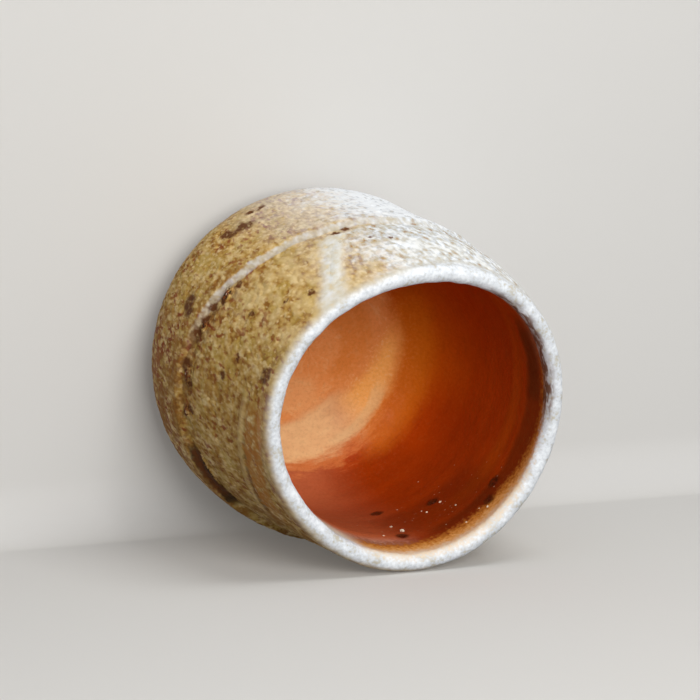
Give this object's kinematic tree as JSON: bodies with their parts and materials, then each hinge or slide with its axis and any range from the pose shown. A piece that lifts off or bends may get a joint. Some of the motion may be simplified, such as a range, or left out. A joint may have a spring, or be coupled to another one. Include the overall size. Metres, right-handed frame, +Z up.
{
  "type": "guinomi sake cup",
  "caption": "Small wood-fired stoneware sake cup with a wavering pale lip, a ledge round its ash-coated body, an orange lining and a low foot ring.",
  "frame": {"origin": "middle of the foot ring's resting face, on the surface that the cup stands on", "axes": "+Z up along the cup's axis, out of its mouth; -Y and +X are the sides with the run of melted ash and the scorched crusts"},
  "size_m": [0.0638, 0.0624, 0.0563],
  "materials": {
    "bare_clay": "matt unglazed stoneware, toasted red-brown",
    "ash_glaze": "rough natural ash, ochre to grey-beige with brown flecks",
    "pale_glaze": "granular white, satin",
    "orange_glaze": "satin-gloss orange to red-brown",
    "cream_run": "smooth cream run of melted ash",
    "scorched_ash": "rough dark brown crust",
    "iron": "melted dark iron",
    "feldspar": "melted white grain"
  },
  "bodies": {
    "root": {"clay_wall": "bare_clay", "foot_ring": "bare_clay", "ash_coat": "ash_glaze", "lip_coat": "pale_glaze", "lining": "orange_glaze", "ash_run": "cream_run", "scorch_crusts": "scorched_ash", "iron_spots": "iron", "feldspar_grains": "feldspar"}
  },
  "joints": []
}
